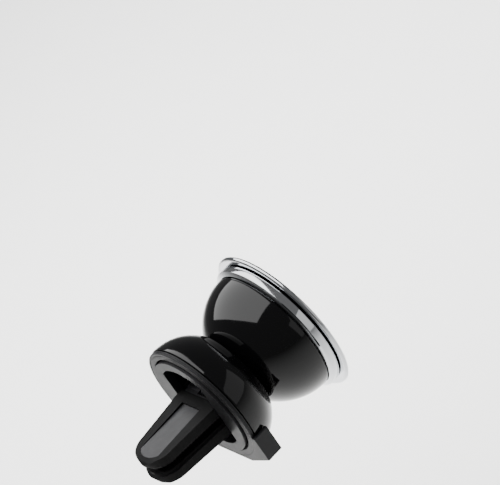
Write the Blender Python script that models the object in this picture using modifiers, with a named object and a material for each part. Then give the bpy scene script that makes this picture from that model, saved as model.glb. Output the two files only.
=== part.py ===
"""Magnetic phone mount that clips on an air-vent louver of a car.

Frame: metres, +Z up. +Y points into the vent, -Y points at the driver, and the phone's plate faces -Y.
The origin is the centre of the slot between the two jaws, in the plane of the clip's rear face.
All the turned pieces share one axis along Y, AXIS_Z above the slot.

The sizes below are in millimetres, and the functions that make the solids turn them into metres.
"""

import math

import bmesh
import bpy
from mathutils import Matrix, Vector

MM = 0.001
GAP = 0.3  # between two pieces that touch

# Driving dimensions
AXIS_Z = 2.3  # turned axis above the middle of the louver slot
PLATE_Y = -30.5  # front face of the phone plate
BALL_Y = -18.0  # centre of the ball joint
PLATE_R = 21.1
PLATE_THICK = 1.3
HEAD_R = 17.95  # head dome at its widest, beside the chrome ring
HEAD_FRONT_Y = -26.1
HEAD_REAR_Y = -12.2
HEAD_LENGTH = 16.5  # semi-axis of the ellipse that the dome follows
HEAD_WALL = 1.7
SOCKET_R = 8.3  # opening in the back of the head dome
BALL_R = 5.0
NECK_R = 2.6
LINER_IN_R, LINER_OUT_R = 5.2, 5.75
CUP_IN_R, CUP_OUT_R = 6.0, 7.3
BASE_R = 17.5  # base dome at its widest
BASE_MID_Y = -1.0
BASE_LENGTH = 14.0
BASE_POWER = 2.2
BASE_EDGE_Y = -1.2
LIP_Y = -11.4
DISH_Y = -9.1
CEILING_Y = -7.5  # inner face of the base dome's front wall
RING_R = 17.3
RING_THICK = 0.9
SEAT_R = 15.0  # recess that holds the rear plate
SEAT_Y = -1.9
LEDGE_R = 13.6
REAR_PLATE_R = 14.6
REAR_PLATE_THICK = 2.2
REAR_PLATE_PROUD = 0.6  # it stands out of the ring by this much
OPEN_HALF_X = 8.05  # opening in the rear plate: a round window with two straight sides
OPEN_R = 12.1
FOOT_HALF_X = 14.5
FOOT_BOTTOM = -17.4  # below the turned axis
FOOT_THICK = 4.6
CARRIER_Y = -4.7  # rear face of the plate that carries the jaws
CARRIER_THICK = 0.7
CARRIER_R = 13.3
JAW_HALF_X, JAW_NOSE_HALF_X = 7.75, 6.3
NOSE_Y, TIP_Y = 15.0, 20.8  # the jaws' sides are straight up to NOSE_Y, and round from there to TIP_Y
SLEEVE_ROOT_Y = -0.9
CORE_ROOT_Y = -1.2
CORE_HALF_X = 3.75
CORE_NOSE_Y, CORE_TIP_Y = 17.6, 19.2
SLOT_HALF = 0.8  # half the height of the louver slot
UPPER_EDGE, LOWER_EDGE = 1.8, -1.6  # inner edges of the two sleeves, from which the grip lands stand out
LAND_INSET = 0.7
CORE_TOP = 3.8
WINDOW_ROOT_Y = 2.2  # face of the upper core, which the sleeve's margins stand above
PIN_Y, PIN_R = -3.2, 0.6
PIN_Z = AXIS_Z + 0.45
PIN_HALF_X = 9.6
KNUCKLE_R = 1.25
JAW_SCREW_X = 4.5
JAW_SCREW_Z = AXIS_Z - 5.5
THREAD_ROOM = 1.1  # radius of a hole for a screw's shank
STEPS = 40


def start():
    """Empties the scene and makes the two collections."""
    for thing in list(bpy.data.objects):
        bpy.data.objects.remove(thing)
    made = []
    for name in ("car_phone_mount", "cutters"):
        group = bpy.data.collections.new(name)
        bpy.context.scene.collection.children.link(group)
        made.append(group)
    return made


PARTS, CUTTERS = start()


def material(name, colour, roughness, metallic=0.0):
    made = bpy.data.materials.new(name)
    made.use_nodes = True
    shader = made.node_tree.nodes["Principled BSDF"]
    shader.inputs["Base Color"].default_value = (*colour, 1.0)
    shader.inputs["Roughness"].default_value = roughness
    shader.inputs["Metallic"].default_value = metallic
    return made


GLOSS_BLACK = material("gloss_black", (0.008, 0.008, 0.009), 0.08)
SATIN_BLACK = material("satin_black", (0.015, 0.015, 0.016), 0.4)
SATIN_GREY = material("satin_grey", (0.06, 0.06, 0.066), 0.45)
RUBBER = material("rubber", (0.02, 0.02, 0.02), 0.8)
CHROME = material("chrome", (0.75, 0.76, 0.78), 0.08, 1.0)
STEEL = material("steel", (0.5, 0.5, 0.51), 0.3, 1.0)
MAGNET = material("magnet", (0.6, 0.6, 0.62), 0.2, 1.0)
NYLON = material("nylon", (0.5, 0.5, 0.48), 0.5)
ADHESIVE = material("adhesive", (0.7, 0.1, 0.08), 0.6)


def empty(name, y, z):
    """A parent at (0, y, z) whose own Z axis lies along the mount's +Y, so that a profile turns about it."""
    made = bpy.data.objects.new(name, None)
    made.location = (0, y * MM, z * MM)
    made.rotation_euler = (-math.pi / 2, 0, 0)
    PARTS.objects.link(made)
    return made


BASE_AXIS = empty("base_axis", 0.0, AXIS_Z)
BALL_CENTRE = empty("ball_centre", BALL_Y, AXIS_Z)


def add(name, mesh, finish, parent=None, group=PARTS):
    made = bpy.data.objects.new(name, mesh)
    group.objects.link(made)
    made.parent = parent
    if finish:
        mesh.materials.append(finish)
    if group is CUTTERS:
        made.hide_render = True
        made.display_type = "WIRE"
    return made


def boolean(thing, other, how="DIFFERENCE"):
    change = thing.modifiers.new(how.lower(), "BOOLEAN")
    change.operation = how
    change.solver = "EXACT"
    change.object = other


def turned(name, points, finish, axis=BASE_AXIS, steps=STEPS, group=PARTS):
    """A profile of (radius, y) points turned about the axis. It runs down its outer side, whichever way it is given."""
    area = sum(a[0] * b[1] - b[0] * a[1] for a, b in zip(points, points[1:] + points[:1]))
    if area > 0:
        points = points[::-1]
    on_axis = [i for i, p in enumerate(points) if p[0] == 0]
    if on_axis:  # the stretch along the axis is left open
        first = max(on_axis, key=lambda i: points[i][1])
        points = points[first:] + points[:first]
    low = axis.location.y / MM
    mesh = bpy.data.meshes.new(name)
    edges = [(i, i + 1) for i in range(len(points) - 1)]
    if not on_axis:
        edges.append((len(points) - 1, 0))
    mesh.from_pydata([(r * MM, 0, (y - low) * MM) for r, y in points], edges, [])
    made = add(name, mesh, finish, axis, group)
    screw = made.modifiers.new("turn", "SCREW")
    screw.axis = "Z"
    screw.steps = screw.render_steps = steps
    screw.use_merge_vertices = True
    screw.merge_threshold = 0.00001
    return made


def arc(cx, cy, r, start_deg, end_deg, count):
    """Points on a circle, from one angle to the other."""
    angles = [math.radians(start_deg + (end_deg - start_deg) * i / count) for i in range(count + 1)]
    return [(cx + r * math.cos(a), cy + r * math.sin(a)) for a in angles]


TO_XZ = Matrix.Rotation(math.pi / 2, 4, "X")  # outline in X and Z, thickness along Y
TO_YZ = Matrix(((0, 0, 1, 0), (1, 0, 0, 0), (0, 1, 0, 0), (0, 0, 0, 1)))  # outline in Y and Z, thickness along X
TO_XY = Matrix.Identity(4)  # outline in X and Y, thickness along Z


def slab(name, outlines, low, high, finish, turn=TO_XZ, group=PARTS):
    """One or more flat outlines, the later ones as holes, given a thickness between two places along its normal."""
    curve = bpy.data.curves.new(name, "CURVE")
    curve.dimensions = "2D"
    curve.fill_mode = "BOTH"
    curve.extrude = (high - low) / 2 * MM
    for outline in outlines:
        spline = curve.splines.new("POLY")
        spline.points.add(len(outline) - 1)
        for point, (a, b) in zip(spline.points, outline):
            point.co = (a * MM, b * MM, 0, 1)
        spline.use_cyclic_u = True
    flat = bpy.data.objects.new(name, curve)
    bpy.context.scene.collection.objects.link(flat)
    bpy.context.view_layer.update()
    mesh = bpy.data.meshes.new_from_object(flat.evaluated_get(bpy.context.evaluated_depsgraph_get()))
    bpy.data.objects.remove(flat)
    work = bmesh.new()
    work.from_mesh(mesh)
    bmesh.ops.remove_doubles(work, verts=work.verts, dist=0.000001)
    work.to_mesh(mesh)
    work.free()
    mesh.materials.clear()
    made = add(name, mesh, finish, None, group)
    normal = turn.to_3x3() @ Vector((0, 0, 1))
    middle = (low + high) / 2 * MM
    made.matrix_world = Matrix.Translation(Vector([abs(n) * middle for n in normal])) @ turn
    return made


def lift(thing, z=AXIS_Z):
    """Moves a solid drawn about the turned axis up to it."""
    thing.location.z += z * MM
    return thing


def rod(name, r, low, high, x, z, finish, along="Y", y=0.0, sides=24, group=CUTTERS):
    """A straight round bar. Along Y it goes through (x, z), and along X through (y, z)."""
    bpy.ops.mesh.primitive_cylinder_add(vertices=sides, radius=r * MM, depth=(high - low) * MM)
    made = bpy.context.object
    made.name = name
    for owner in list(made.users_collection):
        owner.objects.unlink(made)
    group.objects.link(made)
    middle = (low + high) / 2
    if along == "Y":
        made.rotation_euler = (math.pi / 2, 0, 0)
        made.location = (x * MM, middle * MM, z * MM)
    else:
        made.rotation_euler = (0, math.pi / 2, 0)
        made.location = (middle * MM, y * MM, z * MM)
    if finish:
        made.data.materials.append(finish)
    if group is CUTTERS:
        made.hide_render = True
        made.display_type = "WIRE"
    return made


def block(name, low, high, group=CUTTERS):
    """A box between two corners."""
    bpy.ops.mesh.primitive_cube_add(size=1)
    made = bpy.context.object
    made.name = name
    for owner in list(made.users_collection):
        owner.objects.unlink(made)
    group.objects.link(made)
    made.location = [(a + b) / 2 * MM for a, b in zip(low, high)]
    made.scale = [(b - a) * MM for a, b in zip(low, high)]
    if group is CUTTERS:
        made.hide_render = True
        made.display_type = "WIRE"
    return made


def screw(name, x, z, head_y, length, head_r=1.5, shank_r=0.8):
    """A pan-head screw along Y: its head starts at head_y, and the shank goes on for its length."""
    head = 1.0
    points = [
        (0, 0),
        (head_r * 0.8, 0),
        (head_r, 0.35),
        (head_r, head),
        (shank_r, head),
        (shank_r, head + length - 0.6),
        (0.25, head + length),
        (0, head + length),
    ]
    axis = empty(name + "_axis", head_y, z)
    axis.location.x = x * MM
    return turned(name, [(r, y + head_y) for r, y in points], STEEL, axis, steps=14)


def superellipse(r, middle, length, power, y):
    """Radius at y of a dome that is r wide at its middle."""
    return r * (1 - min(abs(y - middle) / length, 1) ** power) ** (1 / power)


def polar(r, degrees):
    """(radius, y) of a point on a sphere about the ball's centre, its angle counted from the +Y axis."""
    a = math.radians(degrees)
    return (r * math.sin(a), BALL_Y + r * math.cos(a))


def base_dome():
    """Gloss shell of the clip: a full dome with a dish in its front, where the head tilts."""
    outer = [
        (superellipse(BASE_R, BASE_MID_Y, BASE_LENGTH, BASE_POWER, y), y)
        for y in (-1.2, -3.0, -4.8, -6.6, -8.2, -9.5, -10.5, -11.1)
    ]
    lip = [(12.5, LIP_Y), (12.0, LIP_Y), (11.2, -10.9), (10.4, -10.2)]
    dish = [(9.0, -9.7), (8.0, -9.3), (7.0, DISH_Y), (2.2, DISH_Y)]
    inner = [(2.2, CEILING_Y)] + [
        (superellipse(16.2, BASE_MID_Y, 12.2, BASE_POWER, y), y) for y in (CEILING_Y, -6.2, -4.6, -2.8, BASE_EDGE_Y)
    ]
    return turned("base_dome", outer + lip + dish + inner, GLOSS_BLACK)


def foot_outline():
    """Two square corners with a shallow bottom, drawn about the turned axis in X and Z."""
    corner = arc(FOOT_HALF_X - 0.8, -14.1, 0.8, 0, -60, 4)
    right = [(FOOT_HALF_X, -6.0)] + corner + [(8.3, -17.0), (3.0, FOOT_BOTTOM)]
    left = [(-x, z) for x, z in reversed(right)]
    return right + left


def foot_ring():
    """Rear rim of the clip with its two corner feet, which lean on the louver below."""
    profile = [
        (RING_R - 0.2, 0),
        (RING_R, -0.2),
        (RING_R, -RING_THICK),
        (15.85, -RING_THICK),
        (15.85, -2.6),
        (14.9, -2.9),
        (14.9, -4.4),
        (LEDGE_R, -4.4),
        (LEDGE_R, SEAT_Y),
        (SEAT_R, SEAT_Y),
        (SEAT_R, 0),
    ]
    ring = turned("foot_ring", profile, SATIN_GREY)
    feet = lift(slab("feet_form", [foot_outline()], -FOOT_THICK, 0, None, group=CUTTERS))
    dome_room = rod("dome_room", BASE_R + 0.4, -8, -RING_THICK, 0, AXIS_Z, None, sides=64)
    seat_room = rod("seat_room", 16.4, -8, 1, 0, AXIS_Z, None, sides=64)
    boolean(feet, dome_room)
    boolean(feet, seat_room)
    boolean(ring, feet, "UNION")
    return ring


def opening_outline(half_x=OPEN_HALF_X, r=OPEN_R):
    """A round window with two straight sides."""
    corner = math.degrees(math.acos(half_x / r))
    return arc(0, 0, r, corner, 180 - corner, 10) + arc(0, 0, r, 180 + corner, 360 - corner, 10)


def rear_plate():
    plate = slab(
        "rear_plate",
        [arc(0, 0, REAR_PLATE_R, 0, 360 - 7.5, 47), opening_outline()],
        REAR_PLATE_PROUD - REAR_PLATE_THICK,
        REAR_PLATE_PROUD,
        SATIN_GREY,
    )
    return lift(plate)


def jaw_carrier():
    """Inner plate that holds the lower jaw and, between two ears, the upper jaw's pin."""
    front = CARRIER_Y - CARRIER_THICK
    carrier = rod("jaw_carrier", CARRIER_R, front, CARRIER_Y, 0, AXIS_Z, SATIN_BLACK, sides=STEPS, group=PARTS)
    for side in (-1, 1):
        x = sorted((side * (OPEN_HALF_X + 0.05), side * PIN_HALF_X))
        ear = block(f"ear_form_{side}", (x[0], CARRIER_Y - 0.3, AXIS_Z - 1.6), (x[1], SEAT_Y, AXIS_Z + 2.2))
        boolean(carrier, ear, "UNION")
        x = side * JAW_SCREW_X
        hole = rod(f"jaw_screw_hole_{side}", THREAD_ROOM, front - 1, CARRIER_Y + 1, x, JAW_SCREW_Z, None, sides=16)
        boolean(carrier, hole)
    boolean(carrier, rod("ear_bore", PIN_R + GAP, -12, 12, 0, PIN_Z, None, "X", PIN_Y, 20))
    return carrier


def jaw_plan(root_y, inset=0.0):
    """Plan of a jaw in X and Y: two sides that draw together, and a round nose."""
    half_x, length = JAW_NOSE_HALF_X - inset, TIP_Y - NOSE_Y - inset
    nose = [
        (half_x * math.cos(a), NOSE_Y + length * math.sin(a)) for a in (math.radians(d) for d in range(12, 85, 12))
    ]
    right = [(JAW_HALF_X - inset, root_y), (JAW_HALF_X - inset, 0.0), (half_x, NOSE_Y)] + nose
    left = [(-x, y) for x, y in reversed(right)]
    return right + [(0, NOSE_Y + length)] + left


def core_plan(root_y, room=0.0):
    """Plan of the stiff core that shows in the sleeve's long window: a strip with a shallow round end."""
    half_x = CORE_HALF_X + room
    end = CORE_TIP_Y - CORE_NOSE_Y
    right = [(half_x, root_y), (half_x, CORE_NOSE_Y)]
    right += [(half_x * 0.8, CORE_NOSE_Y + end * 0.5 + room), (half_x * 0.45, CORE_NOSE_Y + end * 0.85 + room)]
    left = [(-x, y) for x, y in reversed(right)]
    return right + [(0, CORE_TIP_Y + room)] + left


def side_cut(thing, side):
    """Keeps what lies inside a side view in Y and Z."""
    boolean(thing, slab(thing.name + "_side", [side], -12, 12, None, TO_YZ, CUTTERS), "INTERSECT")
    return thing


def jaw_sleeve(name, side, inner_edge, land_face):
    """Rubber sleeve moulded round a jaw's core, with a long window in its outer face and a grip land inside."""
    zs = [z for y, z in side]
    sleeve = side_cut(slab(name, [jaw_plan(SLEEVE_ROOT_Y)], min(zs) - 1, max(zs) + 1, RUBBER, TO_XY), side)
    low, high = sorted((land_face, inner_edge + math.copysign(0.2, inner_edge)))
    land = slab(name + "_land", [jaw_plan(SLEEVE_ROOT_Y + 0.4, LAND_INSET)], low, high, None, TO_XY, CUTTERS)
    boolean(sleeve, land, "UNION")
    return sleeve


def upper_jaw():
    """Core of the sprung jaw: a strip whose root is a knuckle on the pin."""
    jaw = slab("upper_jaw", [core_plan(PIN_Y + 0.3)], CORE_TOP - 1.4, CORE_TOP, SATIN_GREY, TO_XY)
    half_x = JAW_HALF_X - 0.1
    root = block("root_form", (-half_x, PIN_Y + 0.1, CORE_TOP - 1.5), (half_x, CORE_ROOT_Y, CORE_TOP - 0.1))
    boolean(jaw, root, "UNION")
    boolean(jaw, rod("knuckle_form", KNUCKLE_R, -JAW_HALF_X, JAW_HALF_X, 0, PIN_Z, None, "X", PIN_Y, 20), "UNION")
    boolean(jaw, rod("jaw_bore", PIN_R + GAP, -12, 12, 0, PIN_Z, None, "X", PIN_Y, 20))
    boolean(jaw, block("spring_room", (-2.6, -6, AXIS_Z - 3), (2.6, PIN_Y + 1.5, AXIS_Z + 4)))
    return jaw


def upper_jaw_sleeve():
    side = [(SLEEVE_ROOT_Y - 1, UPPER_EDGE), (SLEEVE_ROOT_Y - 1, 4.5), (0, 4.5), (17.0, 3.9), (19.4, 3.75)]
    side += [(20.4, 3.2), (TIP_Y + 0.2, 2.4), (TIP_Y + 0.2, UPPER_EDGE)]
    sleeve = jaw_sleeve("upper_jaw_sleeve", side, UPPER_EDGE, SLOT_HALF)
    room = slab("upper_core_room", [core_plan(-5, GAP)], CORE_TOP - 1.4 - GAP, CORE_TOP + GAP, None, TO_XY, CUTTERS)
    boolean(sleeve, room)
    boolean(sleeve, slab("upper_window", [core_plan(WINDOW_ROOT_Y, GAP)], CORE_TOP - 0.5, 6, None, TO_XY, CUTTERS))
    return sleeve


def lower_jaw():
    """Core of the fixed jaw: its root block is screwed to the carrier."""
    strip = slab("lower_jaw", [core_plan(CORE_ROOT_Y - 1)], -6, -2.2, SATIN_GREY, TO_XY)
    side_cut(strip, [(-5, -2.2), (-5, -4.0), (0, -4.0), (17.0, -3.4), (22, -3.4), (22, -2.2)])
    root = block("lower_root_form", (-JAW_HALF_X, CARRIER_Y + GAP, -4.9), (JAW_HALF_X, CORE_ROOT_Y, -1.6))
    boolean(strip, root, "UNION")
    for side in (-1, 1):
        x = side * JAW_SCREW_X
        boolean(strip, rod(f"jaw_thread_{side}", THREAD_ROOM, -5, 0.2, x, JAW_SCREW_Z, None, sides=16))
    return strip


def lower_jaw_sleeve():
    side = [(SLEEVE_ROOT_Y - 1, LOWER_EDGE), (SLEEVE_ROOT_Y - 1, -4.4), (0, -4.4), (17.0, -3.95), (19.4, -3.8)]
    side += [(20.4, -3.2), (20.6, -2.6), (19.8, LOWER_EDGE)]
    sleeve = jaw_sleeve("lower_jaw_sleeve", side, LOWER_EDGE, -SLOT_HALF)
    window = slab("lower_window", [core_plan(-5, GAP)], -6, -2.2 + GAP, None, TO_XY, CUTTERS)
    boolean(sleeve, window)
    return sleeve


def jaw_spring():
    """Torsion spring round the pin: one leg lies on the carrier, and the other pushes the jaw down."""
    turns, per_turn, coil_r, wire_r, half_x = 5, 10, 1.15, 0.2, 1.9
    count = turns * per_turn
    points = [(-half_x, PIN_Y - 0.95, -3.0), (-half_x, PIN_Y - coil_r, -1.0)]
    for i in range(count + 1):
        a = math.pi + 2 * math.pi * i / per_turn
        x = -half_x + 2 * half_x * i / count
        points.append((x, PIN_Y + coil_r * math.cos(a), coil_r * math.sin(a)))
    points.append((half_x, PIN_Y - coil_r + 0.1, 0.9))
    points.append((half_x, PIN_Y - 0.9, 2.0))
    curve = bpy.data.curves.new("jaw_spring", "CURVE")
    curve.dimensions = "3D"
    curve.bevel_depth = wire_r * MM
    curve.bevel_resolution = 2
    curve.use_fill_caps = True
    spline = curve.splines.new("POLY")
    spline.points.add(len(points) - 1)
    for point, (x, y, z) in zip(spline.points, points):
        point.co = (x * MM, y * MM, (z + PIN_Z) * MM, 1)
    curve.materials.append(STEEL)
    made = bpy.data.objects.new("jaw_spring", curve)
    PARTS.objects.link(made)
    return made


def clip():
    base_dome()
    foot_ring()
    rear_plate()
    jaw_carrier()
    upper_jaw()
    upper_jaw_sleeve()
    lower_jaw()
    lower_jaw_sleeve()
    rod("hinge_pin", PIN_R, -PIN_HALF_X, PIN_HALF_X, 0, PIN_Z, STEEL, "X", PIN_Y, 16, PARTS)
    jaw_spring()
    for n, x in ((1, -JAW_SCREW_X), (2, JAW_SCREW_X)):
        screw(f"jaw_screw_{n}", x, JAW_SCREW_Z, -6.7, 4.4)


def ball_stud():
    """Steel ball on a neck with a foot flange, and a shank through the base dome."""
    neck_angle = math.degrees(math.asin(NECK_R / BALL_R))
    ball = [polar(BALL_R, d) for d in (neck_angle, 45, 60, 75, 90, 105, 120, 135, 150, 165)]
    points = ball + [(0, BALL_Y - BALL_R), (0, -5.7), (1.9, -5.7), (1.9, -9.4)]
    points += [(4.2, -9.4), (4.2, -9.9), (3.1, -10.4), (NECK_R, -11.4)]
    return turned("ball_stud", points, STEEL, BALL_CENTRE, 32)


def stud_nut():
    hexagon = arc(0, 0, 3.5, 0, 300, 5)
    hole = arc(0, 0, 1.9 + GAP, 0, 345, 23)
    return lift(slab("stud_nut", [hexagon, hole], -7.2, -5.75, STEEL))


def ball_liner():
    inner = [polar(LINER_IN_R, d) for d in range(50, 141, 15)]
    outer = [polar(LINER_OUT_R, d) for d in range(140, 49, -15)]
    return turned("ball_liner", inner + outer, NYLON, BALL_CENTRE, 32)


def socket_cup():
    """Round cup that holds the lined ball. Its flange turns between the head's web and the retainer."""
    inner = [polar(CUP_IN_R, d) for d in range(55, 141, 17)]
    outside = [(5.4, -22.9), (7.3, -21.0), (7.3, -20.0), (10.3, -20.0), (10.3, -19.0), (7.3, -19.0)]
    back = [polar(CUP_OUT_R, d) for d in (90, 72, 55)]
    return turned("socket_cup", inner + outside + back, SATIN_BLACK, BALL_CENTRE, 32)


def head_profile(r, length, y):
    return r * math.sqrt(1 - ((y - HEAD_FRONT_Y) / length) ** 2)


def head_dome():
    """Gloss shell behind the chrome ring, with a web inside that the socket's flange turns on."""
    outer = [
        (head_profile(HEAD_R, HEAD_LENGTH, y), y)
        for y in (-26.1, -23.6, -21.1, -18.8, -16.8, -15.1, -13.7, -12.6, HEAD_REAR_Y)
    ]
    mouth = [(8.75, -12.0), (SOCKET_R, -12.35), (SOCKET_R, -13.4)]
    inner_r, inner_length = HEAD_R - HEAD_WALL, HEAD_LENGTH - HEAD_WALL
    rear_inside = [(head_profile(inner_r, inner_length, y), y) for y in (-14.2, -15.6, -17.3)]
    web = [(8.0, -17.3), (8.0, -18.5), (head_profile(inner_r, inner_length, -18.5), -18.5)]
    front_inside = [(head_profile(inner_r, inner_length, y), y) for y in (-20.5, -23.0, -26.1)]
    dome = turned("head_dome", outer + mouth + rear_inside + web + front_inside, GLOSS_BLACK, BALL_CENTRE)
    for n, (x, z) in enumerate(RETAINER_SCREWS, 1):
        boolean(dome, rod(f"web_hole_{n}", 1.0, -19.5, -17.7, x, z, None, sides=16))
    return dome


def around(r, degrees):
    a = math.radians(degrees)
    return (r * math.cos(a), AXIS_Z + r * math.sin(a))


RETAINER_SCREWS = [around(11.9, d) for d in (90, 210, 330)]
TRAY_SCREWS = [around(11.9, d) for d in (0, 120, 240)]
MAGNETS = [around(6.6, d) for d in (45, 135, 225, 315)]


def socket_retainer():
    """Collar that keeps the socket's flange in the head."""
    profile = [(8.0, -21.5), (13.4, -21.5), (13.4, -18.8), (10.7, -18.8), (10.7, -20.3), (8.0, -20.3)]
    collar = turned("socket_retainer", profile, SATIN_BLACK, BALL_CENTRE)
    for n, (x, z) in enumerate(RETAINER_SCREWS + TRAY_SCREWS, 1):
        boolean(collar, rod(f"retainer_hole_{n}", 1.0 if n <= 3 else 1.1, -22, -18, x, z, None, sides=16))
    return collar


def magnet_pack():
    """Tray with four magnets, closed behind by a steel yoke."""
    tray = rod("magnet_tray", 14.5, -27.0, -24.3, 0, AXIS_Z, SATIN_BLACK, sides=STEPS, group=PARTS)
    yoke = rod("steel_yoke", 14.0, -24.0, -23.2, 0, AXIS_Z, STEEL, sides=STEPS, group=PARTS)
    for n, (x, z) in enumerate(MAGNETS, 1):
        boolean(tray, rod(f"pocket_{n}", 3.5, -28, -24.9, x, z, None, sides=24))
        rod(f"magnet_{n}", 3.2, -26.9, -25.2, x, z, MAGNET, sides=24, group=PARTS)
    for n, (x, z) in enumerate(TRAY_SCREWS, 1):
        boolean(tray, rod(f"tray_hole_{n}", 1.1, -28, -23, x, z, None, sides=16))
        boolean(tray, rod(f"tray_sink_{n}", 1.8, -28, -25.6, x, z, None, sides=16))
        boolean(yoke, rod(f"yoke_hole_{n}", 1.1, -25, -22, x, z, None, sides=16))
        screw(f"tray_screw_{n}", x, z, -26.9, 7.0, 1.45)
    for n, (x, z) in enumerate(RETAINER_SCREWS, 1):
        boolean(yoke, rod(f"yoke_notch_{n}", 2.0, -25, -22, x, z, None, sides=16))
        screw(f"retainer_screw_{n}", x, z, -22.8, 3.8, 1.5, 0.7)


def chrome_ring():
    """Bright ring between the plate and the head dome, with a short wall and a wide bevel."""
    profile = [
        (15.0, -28.9),
        (18.9, -28.9),
        (19.2, -28.7),
        (19.2, -26.95),
        (18.05, -26.4),
        (15.9, -26.4),
        (15.9, -24.6),
        (15.0, -24.6),
    ]
    return turned("chrome_ring", profile, CHROME, BALL_CENTRE)


def face_pad():
    return rod("face_pad", 14.6, -28.9, -27.3, 0, AXIS_Z, RUBBER, sides=STEPS, group=PARTS)


def phone_plate():
    """Steel plate with a rounded bright rim, stuck to the back of the phone."""
    back = PLATE_Y + PLATE_THICK
    rim = [(PLATE_R - 0.8, PLATE_Y), (PLATE_R - 0.2, PLATE_Y + 0.3), (PLATE_R, PLATE_Y + 0.65)]
    rim += [(PLATE_R - 0.2, back - 0.3), (PLATE_R - 0.8, back)]
    recess = PLATE_Y + 0.7
    profile = [(0, recess), (PLATE_R - 2.2, recess), (PLATE_R - 2.2, PLATE_Y)] + rim + [(0, back)]
    turned("phone_plate", profile, CHROME, BALL_CENTRE)
    rod("plate_adhesive", PLATE_R - 2.6, PLATE_Y, recess - GAP, 0, AXIS_Z, ADHESIVE, sides=STEPS, group=PARTS)


def head():
    ball_stud()
    stud_nut()
    ball_liner()
    socket_cup()
    head_dome()
    socket_retainer()
    magnet_pack()
    chrome_ring()
    face_pad()
    phone_plate()


clip()
head()
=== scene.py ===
"""Magnetic phone mount for a car's air vent: a clip with two jaws, a ball joint and a round magnet head.

The sections follow the mount as it is put together, from the clip to the plate on the phone. Sizes are in
millimetres. Places come from the boxes of the frame's nodes, and every turned piece shares one axis along Y.
"""

import math

import bmesh
import bpy
from mathutils import Matrix, Vector


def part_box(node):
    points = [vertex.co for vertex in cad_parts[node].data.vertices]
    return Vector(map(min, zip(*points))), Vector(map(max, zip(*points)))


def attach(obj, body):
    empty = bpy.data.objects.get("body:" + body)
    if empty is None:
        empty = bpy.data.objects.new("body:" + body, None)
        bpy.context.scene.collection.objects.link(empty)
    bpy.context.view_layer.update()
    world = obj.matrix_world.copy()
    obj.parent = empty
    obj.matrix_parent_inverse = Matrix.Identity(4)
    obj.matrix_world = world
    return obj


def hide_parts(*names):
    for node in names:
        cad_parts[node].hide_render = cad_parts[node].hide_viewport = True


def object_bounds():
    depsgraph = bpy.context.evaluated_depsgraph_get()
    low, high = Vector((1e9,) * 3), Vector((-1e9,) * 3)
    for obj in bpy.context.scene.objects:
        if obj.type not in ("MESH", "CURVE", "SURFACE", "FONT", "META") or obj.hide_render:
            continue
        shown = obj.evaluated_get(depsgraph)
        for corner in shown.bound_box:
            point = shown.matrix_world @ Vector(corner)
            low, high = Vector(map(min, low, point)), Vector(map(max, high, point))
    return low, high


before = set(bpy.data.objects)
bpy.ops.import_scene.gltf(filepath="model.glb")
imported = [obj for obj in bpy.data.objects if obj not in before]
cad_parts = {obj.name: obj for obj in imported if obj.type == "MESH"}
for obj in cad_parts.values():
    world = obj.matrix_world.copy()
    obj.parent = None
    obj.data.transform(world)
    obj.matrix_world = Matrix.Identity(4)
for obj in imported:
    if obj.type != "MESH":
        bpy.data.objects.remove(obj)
frame_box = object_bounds()

# Camera: a long lens from behind and above the clip's left side, rolled so that the jaws point down and left.

MM = 0.001
AIM = Vector((8.8, -37.6, 19.4)) * MM
AZIMUTH, ELEVATION, ROLL = 248.83, 32.02, -34.15
DISTANCE = 0.887

turn = Matrix.Rotation(math.radians(AZIMUTH), 4, "Z") @ Matrix.Rotation(math.radians(90 - ELEVATION), 4, "X")
turn = turn @ Matrix.Rotation(math.radians(ROLL), 4, "Z")
camera = bpy.data.objects.new("camera", bpy.data.cameras.new("camera"))
camera.data.sensor_width = 36
camera.data.lens = 260.88
camera.data.clip_start = 0.05
camera.matrix_world = Matrix.Translation(AIM + turn.to_3x3() @ Vector((0, 0, DISTANCE))) @ turn
bpy.context.scene.collection.objects.link(camera)
bpy.context.scene.camera = camera

# Studio: white paper far below the mount, a strip softbox overhead that the black domes mirror, and a dim
# panel beside the mount. Two more lights, one wide and one over the paper behind, never show in a gloss.

FLOOR_DROP = 0.25
PAPER_WIDTH = 9


def srgb(code, alpha=1.0):
    """Linear colour of an sRGB hex code."""
    parts = [int(code[i : i + 2], 16) / 255 for i in (1, 3, 5)]
    return (*[p / 12.92 if p <= 0.04045 else ((p + 0.055) / 1.055) ** 2.4 for p in parts], alpha)


def new_material(name, colour, roughness, metallic=0.0, specular=0.5):
    """A new material, its node tree and its shader."""
    made = bpy.data.materials.new(name)
    made.use_nodes = True
    shader = made.node_tree.nodes["Principled BSDF"]
    shader.inputs["Base Color"].default_value = srgb(colour)
    shader.inputs["Roughness"].default_value = roughness
    shader.inputs["Metallic"].default_value = metallic
    shader.inputs["Specular IOR Level"].default_value = specular
    return made, made.node_tree, shader


def add_node(tree, kind, links=(), **settings):
    """Adds one node. Settings are its properties, and links pair a socket with a value or a node's output."""
    made = tree.nodes.new(kind)
    for name, value in settings.items():
        setattr(made, name, value)
    for socket, value in links:
        if isinstance(value, bpy.types.NodeSocket):
            tree.links.new(value, made.inputs[socket])
        else:
            made.inputs[socket].default_value = value
    return made


def two_tones(tree, shader, patches, dark, light):
    """Lets the colour drift between two near tones over a pattern's patches."""
    tone = add_node(tree, "ShaderNodeMix", [("Factor", patches.outputs["Fac"])], data_type="RGBA")
    tone.inputs["A"].default_value = srgb(dark)
    tone.inputs["B"].default_value = srgb(light)
    tree.links.new(tone.outputs["Result"], shader.inputs["Base Color"])


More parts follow.
